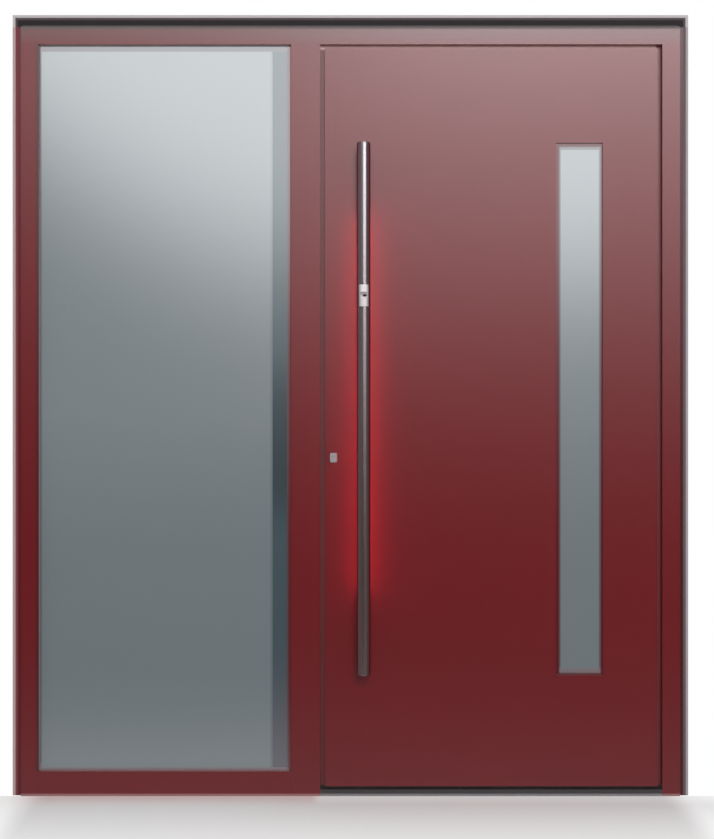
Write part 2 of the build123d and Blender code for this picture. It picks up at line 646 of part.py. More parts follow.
def pull_bar_cap():
    """One turned cap standing on its outer end: chamfered head, shadow groove, and the tube's spigot."""
    radius, neck, rim = BAR_RADIUS, BAR_RADIUS - BAR_CAP_GROOVE_DEPTH, BAR_RADIUS - BAR_CAP_CHAMFER
    collar, tip = BAR_CAP_HEIGHT, BAR_CAP_HEIGHT + BAR_CAP_SPIGOT
    groove = collar - BAR_CAP_GROOVE_WIDTH
    half = [(0, 0), (rim, 0), (radius, BAR_CAP_CHAMFER), (radius, groove), (neck, groove)]
    half += [(neck, collar), (BAR_BORE / 2, collar), (BAR_BORE / 2, tip), (0, tip)]
    section = make_face(Polyline(*[(r, 0, z) for r, z in half], close=True))
    return revolve(section, Axis.Z)


def pull_bar_caps():
    """The two end caps, whose spigots plug the tube."""
    low = Pos(BAR_X, BAR_V - DEPTH / 2, BAR_BOTTOM) * pull_bar_cap()
    high = Pos(BAR_X, BAR_V - DEPTH / 2, BAR_TOP) * Rot(180, 0, 0) * pull_bar_cap()
    return Compound(children=[low, high])


def pull_bar_posts():
    """The two standoff posts with round feet on the leaf, coped to the bar."""
    bar = rod_z(BAR_DIAMETER, BAR_X, BAR_V, BAR_BOTTOM, BAR_TOP)
    posts = []
    for z in (BAR_BOTTOM + POST_FROM_BAR_END, BAR_TOP - POST_FROM_BAR_END):
        post = rod_y(POST_DIAMETER, BAR_X, BAR_V, 0, z) - bar
        posts.append(post + rod_y(POST_FOOT_DIAMETER, BAR_X, -POST_FOOT_THICKNESS, 0, z))
    return Compound(children=posts)


def pull_bar_light():
    """The light strip let into the back of the bar, facing the leaf."""
    half = LIGHT_WIDTH / 2
    back = BAR_V + BAR_RADIUS
    strip = block(BAR_X - half, BAR_X + half, back - LIGHT_THICKNESS, back, LIGHT_BOTTOM, LIGHT_TOP)
    return strip & rod_z(BAR_DIAMETER, BAR_X, BAR_V, LIGHT_BOTTOM, LIGHT_TOP)


def sensor_outline(front, back):
    """The oval of the finger sensor, as a short plug along the depth."""
    oval = SlotOverall(SENSOR_WIDTH, SENSOR_HEIGHT)
    plug = extrude(oval, amount=back - front)
    return Pos(BAR_X + SENSOR_OFFSET, front - DEPTH / 2, READER_CENTRE_Z) * Rot(-90, 0, 0) * plug


def fingerprint_reader():
    """The reader: a curved block flush in the bar, scooped across its middle for a finger."""
    radius = BAR_RADIUS + READER_PROUD
    z0, z1 = READER_CENTRE_Z - READER_HEIGHT / 2, READER_CENTRE_Z + READER_HEIGHT / 2
    body = reader_block() & rod_z(2 * radius, BAR_X, BAR_V, z0, z1)
    scoop_v = BAR_V - radius - READER_SCOOP_RADIUS + READER_SCOOP_DEPTH
    scoop = Cylinder(READER_SCOOP_RADIUS, 2 * READER_WIDTH)
    scoop = Pos(BAR_X, scoop_v - DEPTH / 2, READER_CENTRE_Z) * Rot(0, 90, 0) * scoop
    floor = BAR_V - radius + READER_SCOOP_DEPTH
    return body - scoop - sensor_outline(floor - SENSOR_THICKNESS, floor + SENSOR_THICKNESS)


def fingerprint_sensor():
    """The dark sensor window set into the scoop."""
    floor = BAR_V - BAR_RADIUS - READER_PROUD + READER_SCOOP_DEPTH
    return sensor_outline(floor - SENSOR_PROUD, floor + SENSOR_THICKNESS)


def lock_rosette():
    """The small raised rosette round the cylinder on the outside."""
    sketch = RectangleRounded(ROSETTE_WIDTH, ROSETTE_HEIGHT, ROSETTE_CORNER)
    body = extrude(sketch, amount=ROSETTE_THICKNESS)
    body = chamfer(body.faces().sort_by(Axis.Z)[-1].edges(), ROSETTE_EDGE)
    body = Pos(LOCK_X, -DEPTH / 2, LOCK_Z) * Rot(90, 0, 0) * body
    return body - rod_y(CYLINDER_DIAMETER, LOCK_X, -ROSETTE_THICKNESS, 0, LOCK_Z)


def lock_cylinder():
    """The lock cylinder through the leaf, with its keyway on both sides."""
    v0 = -ROSETTE_THICKNESS - CYLINDER_PROUD
    v1 = DEPTH + PLATE_THICKNESS + CYLINDER_INSIDE_PROUD
    cylinder = rod_y(CYLINDER_DIAMETER, LOCK_X, v0, v1, LOCK_Z)
    x0, x1 = LOCK_X - KEYWAY_WIDTH / 2, LOCK_X + KEYWAY_WIDTH / 2
    z0, z1 = LOCK_Z - KEYWAY_HEIGHT / 2, LOCK_Z + KEYWAY_HEIGHT / 2
    cylinder = cylinder - block(x0, x1, v0, v0 + KEYWAY_DEPTH, z0, z1)
    return cylinder - block(x0, x1, v1 - KEYWAY_DEPTH, v1, z0, z1)


def inside_handle_plate():
    """The long plate on the inside, bored for the lever's neck and the cylinder."""
    sketch = RectangleRounded(PLATE_WIDTH, PLATE_HEIGHT, PLATE_EDGE * 2)
    plate = extrude(sketch, amount=PLATE_THICKNESS)
    plate = chamfer(plate.faces().sort_by(Axis.Z)[-1].edges(), PLATE_EDGE)
    plate = Pos(LOCK_X, DEPTH / 2, LOCK_CASE_Z) * Rot(-90, 0, 0) * plate
    plate = plate - rod_y(CYLINDER_DIAMETER, LOCK_X, DEPTH, DEPTH + PLATE_THICKNESS, LOCK_Z)
    return plate - rod_y(LEVER_DIAMETER, LOCK_X, DEPTH, DEPTH + PLATE_THICKNESS, LEVER_Z)


def inside_handle_lever():
    """The lever of round bar with a mitred corner, and its square spindle into the lock."""
    turn = DEPTH + PLATE_THICKNESS + LEVER_NECK
    neck_start, corner = (LOCK_X, DEPTH / 2, LEVER_Z), (LOCK_X, turn - DEPTH / 2, LEVER_Z)
    route = Polyline(neck_start, corner, (LOCK_X + LEVER_LENGTH, turn - DEPTH / 2, LEVER_Z))
    section = Plane(origin=neck_start, z_dir=(0, 1, 0)) * Circle(LEVER_DIAMETER / 2)
    lever = sweep(section, path=route, transition=Transition.RIGHT)
    lever = chamfer(lever.faces().sort_by(Axis.X)[-1].edges(), LEVER_END_CHAMFER)
    half = SPINDLE / 2
    v0 = LOCK_CENTRE_V - LOCK_CASE_THICKNESS / 2
    return lever + block(LOCK_X - half, LOCK_X + half, v0, DEPTH, LEVER_Z - half, LEVER_Z + half)


def hinge_levels(centre_z):
    """The z limits of a hinge's three knuckles, from the bottom up, with their end gaps."""
    third = HINGE_HEIGHT / 3
    bottom = centre_z - HINGE_HEIGHT / 2
    limits = []
    for number in range(3):
        low = bottom + number * third + HINGE_END_GAP / 2
        limits.append((low, low + third - HINGE_END_GAP))
    return limits


def hinge_frame_half(centre_z):
    """The half screwed to the jamb: a plate with the lower and the upper knuckle."""
    levels = hinge_levels(centre_z)
    clear = HINGE_BARREL / 2 + HINGE_END_GAP
    plate_end = HINGE_X + HINGE_FRAME_PLATE_REACH
    half = block(HINGE_X + clear, plate_end, DEPTH, DEPTH + HINGE_PLATE, levels[0][0], levels[2][1])
    for low, high in (levels[0], levels[2]):
        half = half + rod_z(HINGE_BARREL, HINGE_X, HINGE_V, low, high)
        web_top = HINGE_V - HINGE_BARREL / 2 + HINGE_WEB
        half = half + block(HINGE_X, plate_end, DEPTH, web_top, low, high)
    return half - rod_z(HINGE_PIN, HINGE_X, HINGE_V, levels[0][0], levels[2][1])


def hinge_leaf_half(centre_z):
    """The half screwed to the leaf: a plate with the middle knuckle on a raised web."""
    levels = hinge_levels(centre_z)
    low, high = levels[1]
    edge = LEAF_RIGHT + FLANGE
    half = block(edge - HINGE_PLATE_REACH, edge, DEPTH, DEPTH + HINGE_PLATE, levels[0][0], levels[2][1])
    half = half + rod_z(HINGE_BARREL, HINGE_X, HINGE_V, low, high)
    web_v = DEPTH + HINGE_WEB_LIFT
    half = half + block(edge - HINGE_PLATE_REACH, HINGE_X, web_v, web_v + HINGE_WEB, low, high)
    return half - rod_z(HINGE_PIN + 2 * HINGE_PIN_CLEARANCE, HINGE_X, HINGE_V, low, high)


def hinge_pin(centre_z):
    """The pin through the three knuckles, with a flat head at each end."""
    levels = hinge_levels(centre_z)
    low, high = levels[0][0], levels[2][1]
    pin = rod_z(HINGE_PIN, HINGE_X, HINGE_V, low, high)
    for z0, z1 in ((low - HINGE_PIN_HEAD, low), (high, high + HINGE_PIN_HEAD)):
        pin = pin + rod_z(HINGE_BARREL, HINGE_X, HINGE_V, z0, z1)
    return pin


nodes = {
    "frame_head": frame_head(),
    "frame_jamb_left": frame_jamb(-1, False),
    "frame_jamb_right": frame_jamb(1, True),
    "frame_mullion": frame_mullion(),
    "frame_bottom_rail": frame_bottom_rail(),
    "joint_trim_head": joint_trim_head(),
    "joint_trim_left": joint_trim_side(-1),
    "joint_trim_right": joint_trim_side(1),
    "threshold_sill": threshold_sill(),
    "threshold_profile": threshold_profile(),
    "sidelight_outer_pane": sidelight_pane(0),
    "sidelight_middle_pane": sidelight_pane(1),
    "sidelight_inner_pane": sidelight_pane(2),
    "sidelight_spacers": sidelight_spacers(),
    "sidelight_gaskets": sidelight_gaskets(),
    "sidelight_beads": sidelight_beads(),
    "sidelight_setting_blocks": sidelight_setting_blocks(),
    "door_rebate_seal": door_rebate_seal(),
    "strike_plate": strike_plate(),
    "leaf_outer_skin": leaf_outer_skin(),
    "leaf_inner_skin": leaf_inner_skin(),
    "leaf_core": leaf_core(),
    "leaf_stile_lock": leaf_stile_lock(),
    "leaf_stile_hinge": leaf_stile(1),
    "leaf_rail_top": leaf_rail_top(),
    "leaf_rail_bottom": leaf_rail_bottom(),
    "window_outer_pane": window_pane(0),
    "window_inner_pane": window_pane(1),
    "window_spacer": window_spacer(),
    "window_gaskets": window_gaskets(),
    "window_lining": window_lining(),
    "pull_bar": pull_bar(),
    "pull_bar_caps": pull_bar_caps(),
    "pull_bar_posts": pull_bar_posts(),
    "pull_bar_light": pull_bar_light(),
    "fingerprint_reader": fingerprint_reader(),
    "fingerprint_sensor": fingerprint_sensor(),
    "mortise_lock": mortise_lock(),
    "lock_rosette": lock_rosette(),
    "lock_cylinder": lock_cylinder(),
    "inside_handle_plate": inside_handle_plate(),
    "inside_handle_lever": inside_handle_lever(),
    "hinge_frame_halves": Compound(children=[hinge_frame_half(z) for z in HINGE_HEIGHTS]),
    "hinge_leaf_halves": Compound(children=[hinge_leaf_half(z) for z in HINGE_HEIGHTS]),
    "hinge_pins": Compound(children=[hinge_pin(z) for z in HINGE_HEIGHTS]),
}

os.makedirs("parts", exist_ok=True)
for name, shape in nodes.items():
    export_step(shape, f"parts/{name}.step")
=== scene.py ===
import math
import bpy
import numpy as np
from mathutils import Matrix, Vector


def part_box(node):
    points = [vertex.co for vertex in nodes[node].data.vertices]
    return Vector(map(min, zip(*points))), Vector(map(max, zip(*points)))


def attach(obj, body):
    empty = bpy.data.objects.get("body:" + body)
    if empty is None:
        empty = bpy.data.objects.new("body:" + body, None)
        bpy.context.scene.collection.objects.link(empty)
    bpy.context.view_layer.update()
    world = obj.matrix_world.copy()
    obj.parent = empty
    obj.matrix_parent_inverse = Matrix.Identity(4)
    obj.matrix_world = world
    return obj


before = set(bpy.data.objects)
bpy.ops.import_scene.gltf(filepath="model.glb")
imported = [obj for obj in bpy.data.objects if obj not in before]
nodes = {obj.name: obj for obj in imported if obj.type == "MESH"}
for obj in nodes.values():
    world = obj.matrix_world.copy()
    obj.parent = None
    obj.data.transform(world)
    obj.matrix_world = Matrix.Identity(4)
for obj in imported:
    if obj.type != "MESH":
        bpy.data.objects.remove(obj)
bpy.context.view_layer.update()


# Camera: 5 m in front of the leaf and 1.1 m above the floor, level and square to the door, so that every
# upright stays upright. The lens takes in the frame with a narrow margin all round.

CAMERA_PLACE = (0.0195, -5.0425, 1.1127)
camera_data = bpy.data.cameras.new("camera")
camera_data.lens = 72.61
camera_data.sensor_width = 36.0
camera = bpy.data.objects.new("camera", camera_data)
camera.location = CAMERA_PLACE
camera.rotation_euler = (math.radians(90), 0, 0)
bpy.context.scene.collection.objects.link(camera)
bpy.context.scene.camera = camera


# Joint trims: dark coated aluminium angles that close the joint between the frame and the wall. Their coat
# has a painted highlight along the folded outer edge and painted shadow on the side next to the frame, with
# the frame's red painted into that shadow on the jambs.

class Signal:
    """A shader socket that takes part in arithmetic: each operation adds its Math node to the tree."""

    def __init__(self, tree, socket):
        self.tree, self.socket = tree, socket

    def math(self, operation, *others):
        """The result of one Math node that takes this signal first and the others after it."""
        sockets = dict(enumerate((self,) + others))
        return self.tree.add("ShaderNodeMath", {"operation": operation}, sockets)["Value"]

    def __add__(self, other):
        return self.math("ADD", other)

    def __mul__(self, other):
        return self.math("MULTIPLY", other)

    def __sub__(self, other):
        return self.math("SUBTRACT", other)

    def __rsub__(self, other):
        return (self * -1.0) + other

    def __truediv__(self, other):
        return self.math("DIVIDE", other)

    def __rtruediv__(self, other):
        return self.math("POWER", -1.0) * other

    def __lt__(self, other):
        return self.math("LESS_THAN", other)

    def __gt__(self, other):
        return self.math("GREATER_THAN", other)

    def __abs__(self):
        return self.math("ABSOLUTE")

    __radd__ = __add__
    __rmul__ = __mul__


class ShaderTree:
    """The node tree of a material or of the world, with one method that adds any node to it."""

    def __init__(self, owner):
        owner.use_nodes = True
        self.tree = owner.node_tree
        self.tree.nodes.clear()

    def add(self, kind, settings, sockets):
        """Adds a node: its settings first, then the value or the link of each socket it is given."""
        node = self.tree.nodes.new(kind)
        for name, value in settings.items():
            setattr(node, name, value)
        for key, value in sockets.items():
            if isinstance(key, str):
                key = next(i for i, s in enumerate(node.inputs) if s.enabled and s.name == key)
            if isinstance(value, Signal):
                self.tree.links.new(value.socket, node.inputs[key])
            else:
                node.inputs[key].default_value = value
        return {s.name: Signal(self, s) for s in node.outputs if s.enabled}

    def blend(self, amount, first, second):
        """The first colour where amount is 0, the second where it is 1."""
        sockets = {"Factor": amount, "A": first, "B": second}
        return self.add("ShaderNodeMix", {"data_type": "RGBA"}, sockets)["Result"]

    def rise(self, value, low, high):
        """0 below low, 1 above high, and a smooth step between them."""
        settings = {"interpolation_type": "SMOOTHSTEP"}
        sockets = {"Value": value, "From Min": low, "From Max": high}
        return self.add("ShaderNodeMapRange", settings, sockets)["Result"]

    def within(self, value, low, high, edge):
        """1 from low to high and 0 outside them, with edges that are edge wide."""
        return self.rise(value, low - edge, low) * (1 - self.rise(value, high, high + edge))


class Finish(ShaderTree):
    """A material with one Principled surface. Its patterns are in metres, on the piece's own coordinates."""

    def __init__(self, name):
        self.material = bpy.data.materials.new(name)
        super().__init__(self.material)
        self.place = self.add("ShaderNodeTexCoord", {}, {})["Object"]
        axes = self.add("ShaderNodeSeparateXYZ", {}, {"Vector": self.place})
        self.x, self.y, self.z = axes["X"], axes["Y"], axes["Z"]

    def grain(self, size, stretch=(1, 1, 1), detail=2.0):
        """Noise from 0 to 1 whose spots are size metres across, longer where stretch is more than 1."""
        place = self.add("ShaderNodeMapping", {}, {"Vector": self.place, "Scale": [1 / s for s in stretch]})
        sockets = {"Vector": place["Vector"], "Scale": 1 / size, "Detail": detail}
        return self.add("ShaderNodeTexNoise", {}, sockets)["Fac"]

    def relief(self, height, depth, strength=1.0):
        """The normal of a surface that rises by depth metres where height is 1."""
        sockets = {"Height": height, "Distance": depth, "Strength": strength}
        return self.add("ShaderNodeBump", {}, sockets)["Normal"]

    def surface(self, sockets):
        """Closes the material with a Principled shader that takes these sockets."""
        shader = self.add("ShaderNodeBsdfPrincipled", {}, sockets)["BSDF"]
        self.add("ShaderNodeOutputMaterial", {}, {"Surface": shader})


def tone(red, green, blue):
    """A screen colour of 0 to 255 a channel as the linear colour that a shader takes, by the sRGB curve: a
    straight piece up to 10.31 and a power of 2.4 above it."""
    linear = [c / 3294.6 if c <= 10.31 else ((c / 255 + 0.055) / 1.055) ** 2.4 for c in (red, green, blue)]
    return (*linear, 1.0)


def dress(finish, *names):
    """Gives CAD nodes a finish in place of their packed material."""
    for name in names:
        for slot in nodes[name].material_slots:
            slot.material = finish.material


TRIM_DUST = tone(20, 18, 19)
SOFT_EDGE = 0.001


def joint_trim(name, tones, steps, gloss):
    """A trim's coat by the distance in from the wall: the folded edge with a painted highlight, the flat, and
    the side with the frame's shadow painted on. Each tone gives way to the next at a step, and beyond the
    second step the coat is glossier."""
    trim = Finish(name)
    wall_x, wall_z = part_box("joint_trim_head")[1].x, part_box("joint_trim_head")[1].z
    from_wall = (wall_x - abs(trim.x)).math("MINIMUM", wall_z - trim.z)
    colour = tone(*tones[0])
    for step, inner in zip(steps, tones[1:]):
        colour = trim.blend(trim.rise(from_wall, step - SOFT_EDGE, step + SOFT_EDGE), colour, tone(*inner))
    mottle = trim.grain(0.004)
    trim.surface({
        "Base Color": trim.blend(mottle * 0.08, colour, TRIM_DUST),
        "Roughness": 0.5 + 0.12 * mottle,
        "Normal": trim.relief(trim.grain(0.0012), 0.00004),
        "Specular IOR Level": 0.1,
        "Coat Weight": gloss * trim.rise(from_wall, steps[1] - SOFT_EDGE, steps[1] + SOFT_EDGE),
        "Coat Roughness": 0.2,
        "Coat IOR": 1.6,
    })
    return trim


# Tones per trim: painted highlight on the folded edge, the flat, then painted shadow beside the frame,
# reddish on the jambs.
for trim_name, trim_tones, trim_steps, trim_gloss in (
    ("joint_trim_left", ((184, 158, 158), (122, 62, 69), (86, 20, 25)), (0.0085, 0.0158), 0.6),
    ("joint_trim_right", ((168, 162, 164), (106, 89, 94), (66, 20, 25)), (0.0070, 0.0148), 0.6),
    (
        "joint_trim_head", ((192, 186, 188), (84, 74, 78), (46, 41, 42), (80, 75, 77)),
        (0.0080, 0.0150, 0.0300), 0.0,
    ),
):
    dress(joint_trim(trim_name, trim_tones, trim_steps, trim_gloss), trim_name)


# Frame: extruded aluminium profiles, sawn at 45 degrees at the head, crimped on corner cleats and
# powder-coated ruby red. A black polyamide strip parts the outer shell from the inner one in the rebates.

RUBY = tone(105, 10, 19)
RUBY_DEEP = tone(98, 8, 16)
# Painted light and shade for the gap round the leaf: paler walls, paler still high up and under the head, and
# a dark floor.
RUBY_GAP_PAINTED_LIGHT = tone(140, 26, 32)
RUBY_GAP_PAINTED_LIGHT_HIGH = tone(176, 102, 105)
RUBY_GAP_FLOOR_PAINTED_SHADE = tone(90, 10, 16)
RUBY_UNDER_HEAD_PAINTED_LIGHT = tone(188, 148, 147)
POLYAMIDE = tone(34, 33, 34)
# Dark hairline joints; the same dark is also painted shade at the left edge of the glass.
HAIRLINE_AND_LIP_SHADE = tone(48, 12, 16)
FOOT_EDGE = tone(146, 100, 102)
# Painted shade for the head under its trim.
HEAD_PAINTED_SHADE = tone(86, 82, 80)
FRAME_DEPTH = 0.085
STRIP_FRONT, STRIP_BACK = 0.030, 0.046
GAP_FRONT, GAP_FLOOR, GAP_CORNER = 0.004, 0.022, 0.0015
GAP_PALER_FROM, GAP_PALEST = 0.9, 2.2
HEAD_GAP_LOW, HEAD_GAP_HIGH = 0.014, 0.010
SHARP_EDGE = 0.0003


def powder_coat(name, details=None, strip=True):
    """Satin powder coat: a slight cloudiness, orange peel 1.5 mm across, and the strip in the rebates. In the
    gap round the leaf the walls carry painted light that gets paler with height, the floor carries painted
    shade, and both carry painted light at the head."""
    coat = Finish(name)
    cloud = coat.grain(0.25, detail=3.0)
    peel = coat.grain(0.0015, detail=1.0)
    depth = coat.y + FRAME_DEPTH / 2
    head_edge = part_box("frame_head")[0].z
    # Painted light on the gap's walls, rising with height and strongest under the head; painted shade on the
    # gap's floor, with painted light where it runs over the leaf.
    under_head = coat.rise(coat.z, head_edge - HEAD_GAP_LOW, head_edge - HEAD_GAP_HIGH)
    gap_painted_light = coat.blend(coat.rise(coat.z, GAP_PALER_FROM, GAP_PALEST), RUBY_GAP_PAINTED_LIGHT, RUBY_GAP_PAINTED_LIGHT_HIGH)
    gap_painted_light = coat.blend(under_head, gap_painted_light, RUBY_UNDER_HEAD_PAINTED_LIGHT)
    colour = coat.blend(cloud, RUBY_DEEP, RUBY)
    colour = coat.blend(coat.within(depth, GAP_FRONT, GAP_FLOOR - GAP_CORNER, SOFT_EDGE), colour, gap_painted_light)
    on_floor = coat.within(depth, GAP_FLOOR - SHARP_EDGE, STRIP_FRONT, SOFT_EDGE)
    over_leaf = under_head * (coat.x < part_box("leaf_outer_skin")[1].x - SOFT_EDGE)
    colour = coat.blend(on_floor, colour, coat.blend(over_leaf, RUBY_GAP_FLOOR_PAINTED_SHADE, RUBY_UNDER_HEAD_PAINTED_LIGHT))
    roughness = 0.20 + 0.03 * coat.grain(0.02) + 0.10 * on_floor
    if details is not None:
        colour, roughness = details(coat, colour, roughness)
    if strip:
        plastic = coat.within(depth, STRIP_FRONT, STRIP_BACK, SHARP_EDGE)
        colour = coat.blend(plastic, colour, POLYAMIDE)
        roughness = roughness + 0.35 * plastic
    coat.surface({
        "Base Color": colour,
        "Roughness": roughness,
        "Normal": coat.relief(peel, 0.000015, 0.6),
        "IOR": 1.67,
    })
    return coat


MITRE_LINE, BUTT_LINE, BUTT_END = 0.0007, 0.0004, 0.0002
LIP_WIDTH, LIP_FADE = 0.003, 0.008
FOOT_EDGE_LOW, FOOT_EDGE_HIGH = 0.0065, 0.0075
HEAD_SHADE, TRIM_SHADE, TRIM_CONTACT = 0.065, 0.010, 0.002


def frame_details(coat, colour, roughness):
    """A hairline along each mitre of the head and each butt joint, painted shade along the left edge of the
    glass, the paler edge along the floor, and painted shade over the head, deepest and matt where it runs
    under its trim."""
    head_low, head_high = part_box("frame_head")
    mullion_low, mullion_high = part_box("frame_mullion")
    rail_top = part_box("frame_bottom_rail")[1].z
    jamb_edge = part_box("frame_jamb_left")[1].x
    mitre = abs(abs(coat.x) - head_high.x - (coat.z - head_high.z)) < MITRE_LINE
    across = abs(coat.z - head_low.z) < BUTT_LINE
    over_mullion = coat.within(coat.x, mullion_low.x, mullion_high.x, BUTT_END)
    at_mullion, at_jamb = abs(coat.x - mullion_low.x) < BUTT_LINE, abs(coat.x - jamb_edge) < BUTT_LINE
    upright = at_mullion.math("MAXIMUM", at_jamb)
    lines = (mitre * (coat.z > head_low.z)).math("MAXIMUM", across * over_mullion)
    lines = lines.math("MAXIMUM", upright * (coat.z < rail_top))
    colour = coat.blend(lines * 0.7, colour, HAIRLINE_AND_LIP_SHADE)
    # Painted shade along the jamb's edge at the left of the glass.
    lip = coat.within(coat.x, jamb_edge - LIP_WIDTH, jamb_edge + SOFT_EDGE, LIP_FADE)
    lip = lip * coat.within(coat.z, rail_top, head_low.z, SOFT_EDGE)
    colour = coat.blend(lip * 0.6, colour, HAIRLINE_AND_LIP_SHADE)
    colour = coat.blend(1 - coat.rise(coat.z, FOOT_EDGE_LOW, FOOT_EDGE_HIGH), colour, FOOT_EDGE)
    # Painted shade over the head, deepest where it runs under its trim, where the coat is also rougher.
    shade = 0.35 * coat.rise(coat.z, head_high.z - HEAD_SHADE, head_high.z - TRIM_SHADE)
    colour = coat.blend(shade, colour, HEAD_PAINTED_SHADE)
    dull_and_shaded = coat.rise(coat.z, head_high.z - TRIM_SHADE, head_high.z - TRIM_CONTACT)
    return coat.blend(dull_and_shaded, colour, HEAD_PAINTED_SHADE), roughness + 0.4 * dull_and_shaded


frame_coat = powder_coat("powder_coat_frame", frame_details)
dress(frame_coat, "frame_head", "frame_jamb_left", "frame_jamb_right", "frame_mullion", "frame_bottom_rail")


# Threshold: a dark anodised profile with grip ribs, pressed on a plain aluminium sill plate that is bedded on
# the floor. Shoes have polished the tops of the ribs a little, and behind its edge the leaf's shade and red
# reflection are painted on in dark red.

TREAD, TREAD_WORN, TREAD_SHADED = tone(66, 62, 63), tone(88, 85, 85), tone(34, 10, 12)
TREAD_FRONT, TREAD_IN_SHADE = -0.0425, -0.038
WORN_HEIGHT = 0.0012

threshold = Finish("dark_anodised")
scuff = threshold.grain(0.012, stretch=(6, 1, 1), detail=4.0)
tread_low, tread_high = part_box("threshold_profile")
worn = threshold.rise(threshold.z, tread_high.z - WORN_HEIGHT, tread_high.z)
worn = worn * threshold.rise(scuff, 0.45, 0.75)
# Painted shade, dark red, where the tread runs back under the leaf.
shaded = threshold.rise(threshold.y, TREAD_FRONT, TREAD_IN_SHADE)
threshold.surface({
    "Base Color": threshold.blend(shaded, threshold.blend(worn, TREAD, TREAD_WORN), TREAD_SHADED),
    "Metallic": 0.6,
    "Roughness": 0.46 - 0.12 * worn,
    "Normal": threshold.relief(threshold.grain(0.0008, stretch=(30, 1, 1)), 0.00003),
})
dress(threshold, "threshold_profile")

sill = Finish("bare_aluminium")
sill_grain = sill.grain(0.0009, stretch=(60, 1, 1))
sill.surface({
    "Base Color": sill.blend(sill_grain, tone(118, 114, 115), tone(138, 134, 136)),
    "Metallic": 0.7,
    "Roughness": 0.38 + 0.15 * sill_grain,
    "Normal": sill.relief(sill_grain, 0.00003),
})
dress(sill, "threshold_sill")


# Side light: a triple unit on two setting blocks. The outer sheet is satin all over apart from a clear strip
# along the mullion, where a view of the room is painted, and a narrow clear border, on which the grey spacer
# behind it is painted. Rubber gaskets hold it.

SATIN = tone(125, 135, 139)
SATIN_EDGE = tone(136, 146, 151)
CLEAR_DARK = tone(76, 92, 99)
PAINTED_ROOM_AT_EYE_LEVEL = tone(46, 60, 66)
PAINTED_ROOM_FLOOR = tone(100, 100, 108)
SPACER_GREY = tone(112, 109, 114)
SPACER_LIT = tone(140, 128, 133)
CLEAR_STRIP, STRIP_BLUR, SEAM_WIDTH = 0.0548, 0.0006, 0.006
EYE_LEVEL_LOW, EYE_LEVEL_HIGH, EYE_LEVEL_FADE = 0.97, 1.12, 0.24
FLOOR_SEEN, FLOOR_HIDDEN = 0.08, 0.50
SPACER_LIT_UNDER, SPACER_GREY_ABOVE = 0.020, 0.026
BORDER_BLUR, EDGE_BLUR = 0.0008, 0.008


def satin_glass(name, opening_low, opening_high, borders, edges, edge_shade_tone, edge_dull, strip=0.0):
    """The outer sheet: etched in the field, clear within borders (left, right, bottom, top) of the opening's
    edge, where the spacer is painted with painted light at its foot, and over the strip at the right, where a
    painted view of the room shows, darkest at eye level. Within edges, in the same order, a shaded red edge
    is painted for the recess walls."""
    glass = Finish(name)
    left, right = glass.x - opening_low.x, opening_high.x - glass.x
    bottom, top = glass.z - opening_low.z, opening_high.z - glass.z

    def margin(widths, blur):
        """1 at the edges of the opening and 0 further in than widths, over a step that is blur wide."""
        inside = 1.0
        for distance, width in zip((left, right, bottom, top), widths):
            inside = inside * glass.rise(distance, width - blur, width)
        return 1 - inside

    border = margin(borders, BORDER_BLUR)
    edge = margin(edges, EDGE_BLUR)
    frost = glass.grain(0.0011, detail=3.0)
    drift = glass.grain(0.35, detail=2.0)
    colour = glass.blend(0.10 * frost + 0.12 * drift, SATIN, SATIN_EDGE)
    coat = 1 - 0.2 * border
    if strip:
        seam = glass.within(right, strip, strip + SEAM_WIDTH, SOFT_EDGE)
        clear = 1 - glass.rise(right, strip - STRIP_BLUR, strip + STRIP_BLUR)
        # Painted view of the room through the clear strip.
        at_eye_level = glass.within(glass.z, EYE_LEVEL_LOW, EYE_LEVEL_HIGH, EYE_LEVEL_FADE)
        painted_room_view = glass.blend(0.8 * at_eye_level, CLEAR_DARK, PAINTED_ROOM_AT_EYE_LEVEL)
        painted_room_view = glass.blend(glass.rise(glass.z, FLOOR_SEEN, FLOOR_HIDDEN), PAINTED_ROOM_FLOOR, painted_room_view)
        colour = glass.blend(seam * 0.32, colour, CLEAR_DARK)
        colour = glass.blend(clear, colour, painted_room_view)
        coat = coat - 0.25 * clear * (1 - border)
    # The spacer painted on the clear border, with painted light low down.
    above_lit = glass.rise(bottom, SPACER_LIT_UNDER, SPACER_GREY_ABOVE)
    spacer_tone = glass.blend(above_lit, SPACER_LIT, SPACER_GREY)
    colour = glass.blend(edge, glass.blend(border, colour, spacer_tone), edge_shade_tone)
    glass.surface({
        "Base Color": colour,
        "Roughness": 0.07 + 0.02 * frost,
        "Alpha": 0.985 - 0.08 * border * (1 - edge),
        "Normal": glass.relief(glass.grain(0.6, detail=1.0), 0.0004),
        "IOR": 1.5,
        "Coat Weight": coat - edge_dull * edge,
        "Coat Roughness": 0.03,
        "Coat IOR": 2.4,
    })
    return glass


light_low = Vector((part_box("frame_jamb_left")[1].x, 0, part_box("frame_bottom_rail")[1].z))
light_high = Vector((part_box("frame_mullion")[0].x, 0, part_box("frame_head")[0].z))
LIGHT_BORDERS = (0.0070, 0.0115, 0.0090, 0.0190)
LIGHT_EDGES = (0.0020, 0.0150, 0.0065, 0.0020)
# Painted shade and red of the recess walls along the glass's edges.
SIDELIGHT_EDGE_PAINTED_SHADE, LIGHT_EDGE_DULL = tone(106, 54, 58), 0.15
light_glass = satin_glass(
    "satin_sidelight", light_low, light_high, LIGHT_BORDERS, LIGHT_EDGES, SIDELIGHT_EDGE_PAINTED_SHADE, LIGHT_EDGE_DULL,
    CLEAR_STRIP,
)
dress(light_glass, "sidelight_outer_pane")

